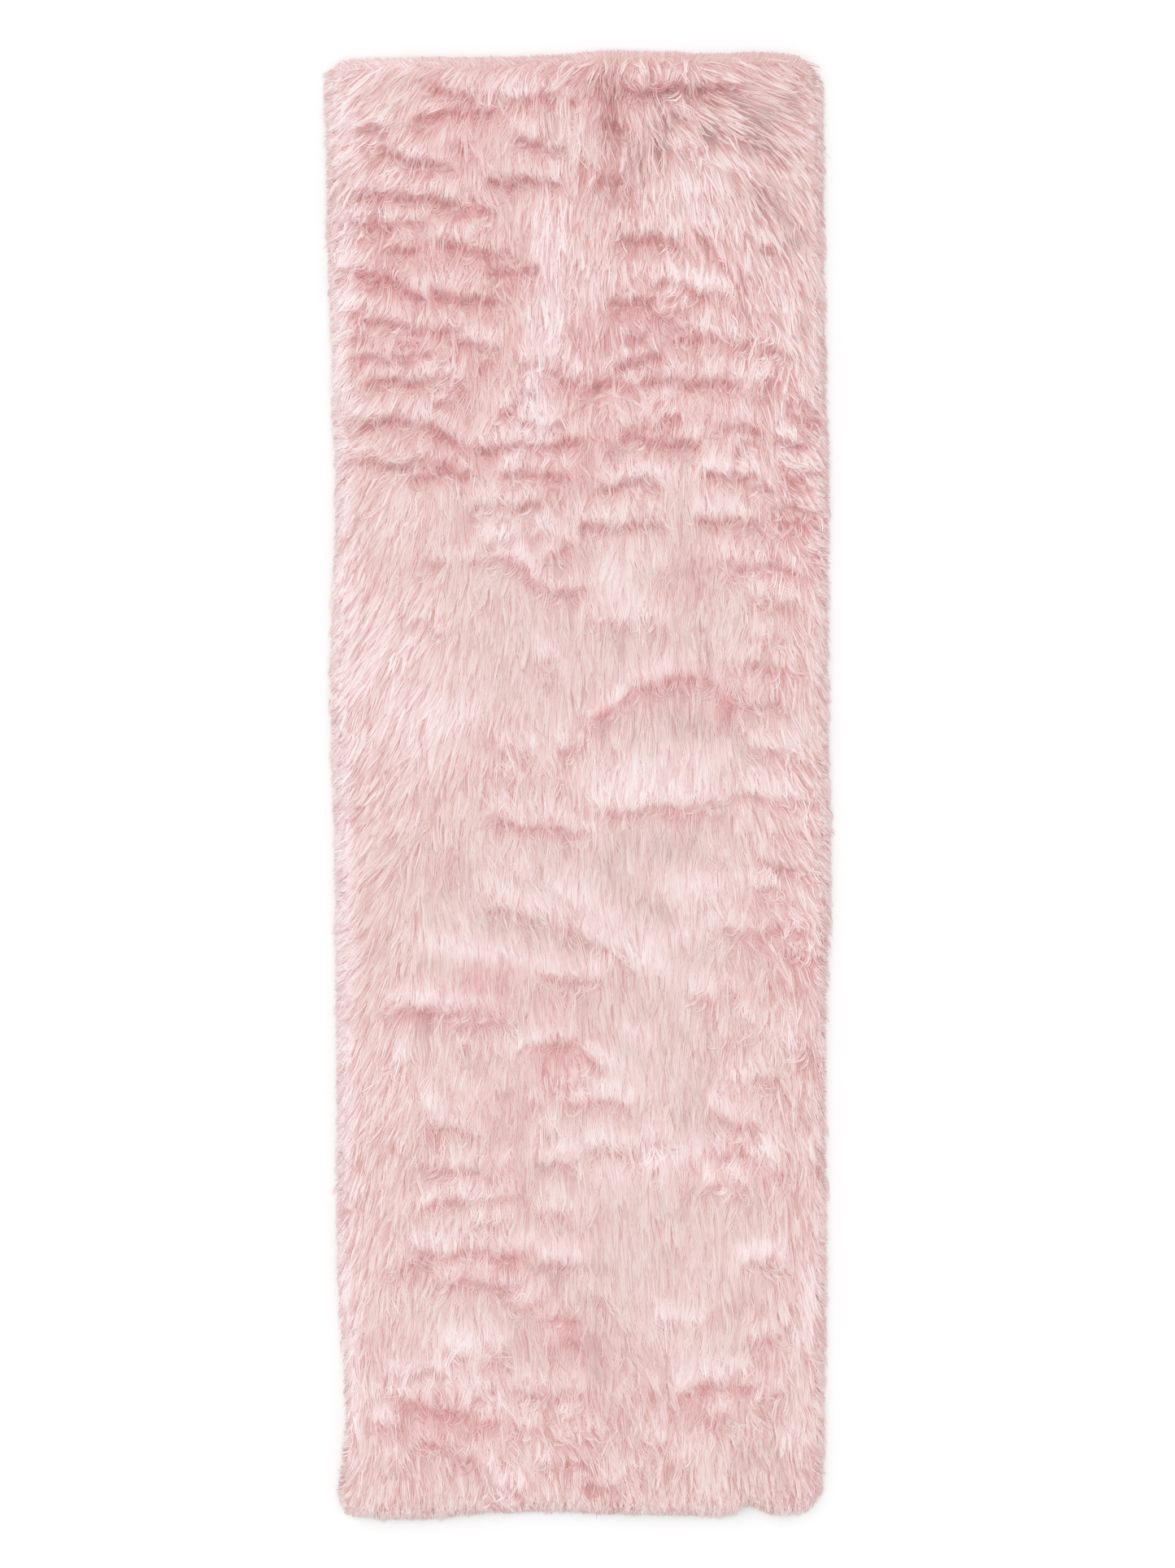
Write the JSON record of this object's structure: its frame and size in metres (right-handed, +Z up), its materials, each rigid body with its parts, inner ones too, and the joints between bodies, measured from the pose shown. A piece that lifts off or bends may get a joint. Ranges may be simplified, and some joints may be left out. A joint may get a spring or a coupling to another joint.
{
  "type": "shag rug",
  "caption": "Long-pile faux-fur shag runner rug, lying flat, with combed, puffed and creased pile and soft locks round its rim",
  "frame": {"origin": "middle of the flat underside, on the floor", "axes": "X across the rug, Y along it, towards the end that the pile is combed away from, Z up out of the pile"},
  "size_m": [0.6294, 1.8366, 0.034],
  "materials": {
    "shag_pile": "long soft pile, dusty pink, with a faint sheen on the combed hair"
  },
  "bodies": {
    "root": {"rug": "shag_pile"}
  },
  "joints": []
}
